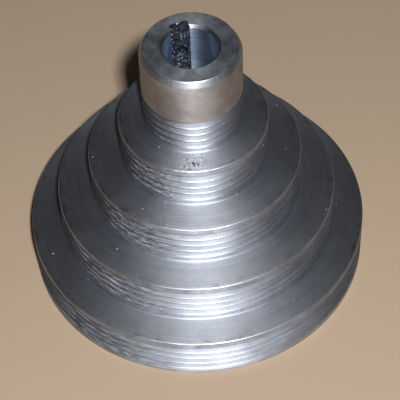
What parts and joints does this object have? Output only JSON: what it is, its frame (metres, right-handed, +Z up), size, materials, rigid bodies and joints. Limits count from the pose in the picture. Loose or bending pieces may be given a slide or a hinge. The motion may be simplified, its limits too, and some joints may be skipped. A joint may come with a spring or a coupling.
{
  "type": "ribbed belt step pulley",
  "caption": "Stepped pulley for ribbed belts in turned steel, with a plain hub nose and a keyed through bore; its rings are clamped on the hub sleeve by a slotted nut.",
  "frame": {"origin": "centre of the base face, on the bore axis", "axes": "+Z up along the bore axis towards the hub nose, +Y from the axis towards the shaft keyway, +X towards the side grub screw"},
  "size_m": [0.0914, 0.0914, 0.077],
  "materials": {
    "hub_steel": "bare steel, fine turned, worn satin",
    "ring_steel": "bare steel, turned faces and rough cut grooves",
    "base_steel": "bare steel, turned faces and rough cut grooves",
    "key_steel": "bright drawn steel, ground flats",
    "washer_steel": "stamped sheet steel, dull",
    "nut_steel": "turned and milled steel, slightly blackened",
    "screw_steel": "black oxide on alloy steel"
  },
  "bodies": {
    "pulley": {"hub_sleeve": "hub_steel", "second_step_ring": "ring_steel", "third_step_ring": "ring_steel", "fourth_step_ring": "ring_steel", "base_step_ring": "base_steel", "ring_key": "key_steel", "tab_washer": "washer_steel", "lock_nut": "nut_steel"},
    "key_screw": {"key_grub_screw": "screw_steel"},
    "side_screw": {"side_grub_screw": "screw_steel"}
  },
  "joints": [
    {"name": "key_screw_travel", "type": "slide", "parent": "pulley", "child": "key_screw", "axis": [0, 1, 0], "range_m": [0, 0.0015]},
    {"name": "side_screw_travel", "type": "slide", "parent": "pulley", "child": "side_screw", "axis": [1, 0, 0], "range_m": [0, 0.0015]}
  ]
}
